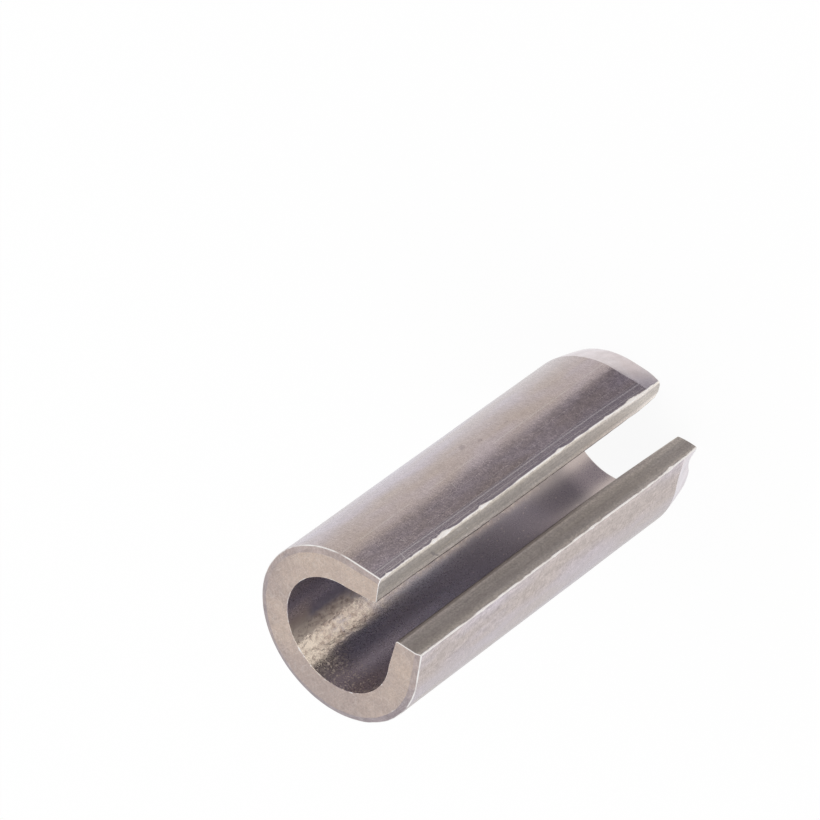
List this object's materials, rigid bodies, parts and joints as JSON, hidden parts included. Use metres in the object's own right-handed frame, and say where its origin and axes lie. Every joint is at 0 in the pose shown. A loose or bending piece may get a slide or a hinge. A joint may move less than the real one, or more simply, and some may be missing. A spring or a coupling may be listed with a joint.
{
  "type": "slotted spring pin",
  "caption": "Slotted spring pin rolled from steel strip into an open C, with a tapered lead-in end; it is squeezed as it is driven into a drilled hole and then grips it.",
  "frame": {"origin": "centre of the tapered end, on the pin's axis, where it stands on the floor", "axes": "+Z along the pin's axis, from the tapered end up to the plain end; -Y through the middle of the slot"},
  "size_m": [0.0086, 0.0085, 0.02],
  "materials": {
    "spring_steel": "plain hardened strip, warm grey with fine draw lines, ground ends and slightly burred slot edges"
  },
  "bodies": {
    "root": {"spring_pin": "spring_steel"}
  },
  "joints": []
}
